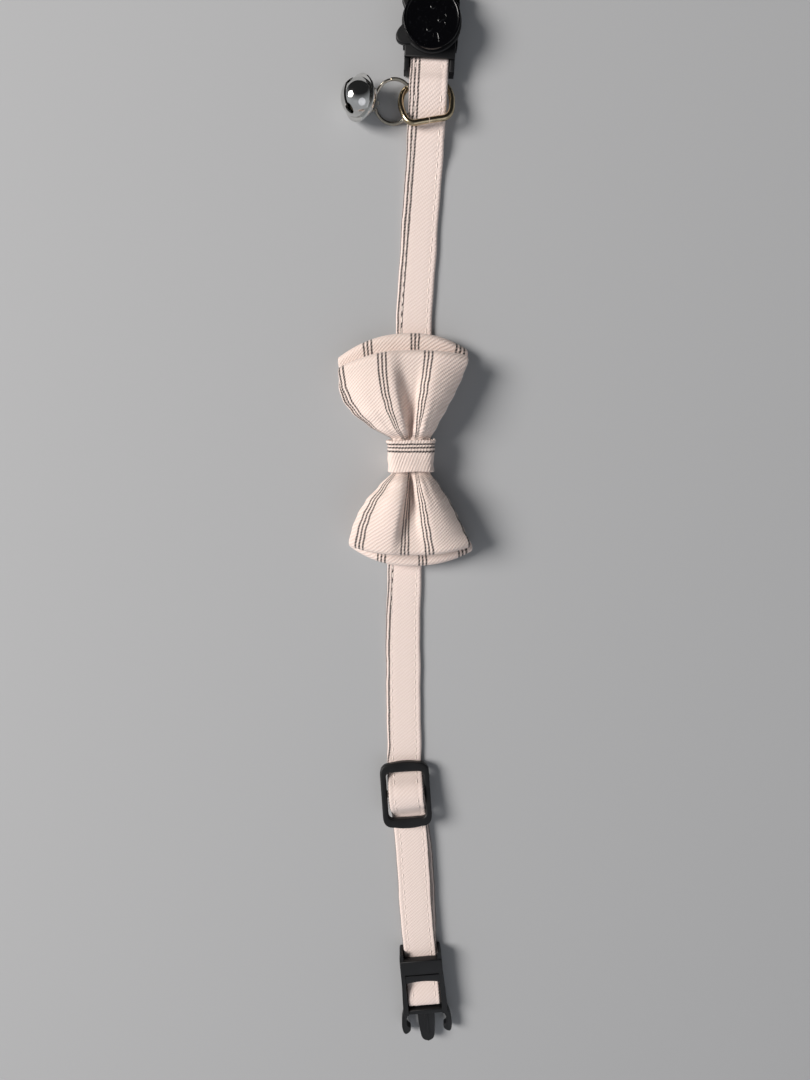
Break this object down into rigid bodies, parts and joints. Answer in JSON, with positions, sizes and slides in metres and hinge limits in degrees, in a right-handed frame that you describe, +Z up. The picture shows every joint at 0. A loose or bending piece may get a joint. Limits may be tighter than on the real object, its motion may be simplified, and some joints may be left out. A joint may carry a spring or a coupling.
{
  "type": "pet bow tie collar",
  "caption": "Narrow striped cotton pet collar laid out straight, with a layered bow tie, bell on a D-ring, slider and cat-face side-release buckle.",
  "frame": {"origin": "on the floor below the middle of the laid out collar's bounding box", "axes": "+Y along the collar from the pronged half of the buckle to its socket half, +Z up out of the front of the bow"},
  "size_m": [0.0384, 0.3078, 0.0135],
  "materials": {
    "strap_cotton": "woven pale blush cotton over webbing, thin dark stripes, matte",
    "bow_cotton": "twill pale blush cotton with triple dark pinstripes, matte",
    "plated_steel": "bright plated steel wire, slightly warm",
    "bell_chrome": "mirror bright plated shell",
    "satin_plastic": "moulded black plastic, satin",
    "gloss_plastic": "moulded black plastic, glossy"
  },
  "bodies": {
    "root": {"strap": "strap_cotton", "bow_back": "bow_cotton", "bow_front": "bow_cotton", "bow_knot": "bow_cotton", "d_ring": "plated_steel", "split_ring": "plated_steel", "bell_shell": "bell_chrome", "bell_pellet": "plated_steel", "slider": "satin_plastic", "buckle_prongs": "satin_plastic", "buckle_socket": "satin_plastic", "face_disc": "gloss_plastic"}
  },
  "joints": []
}
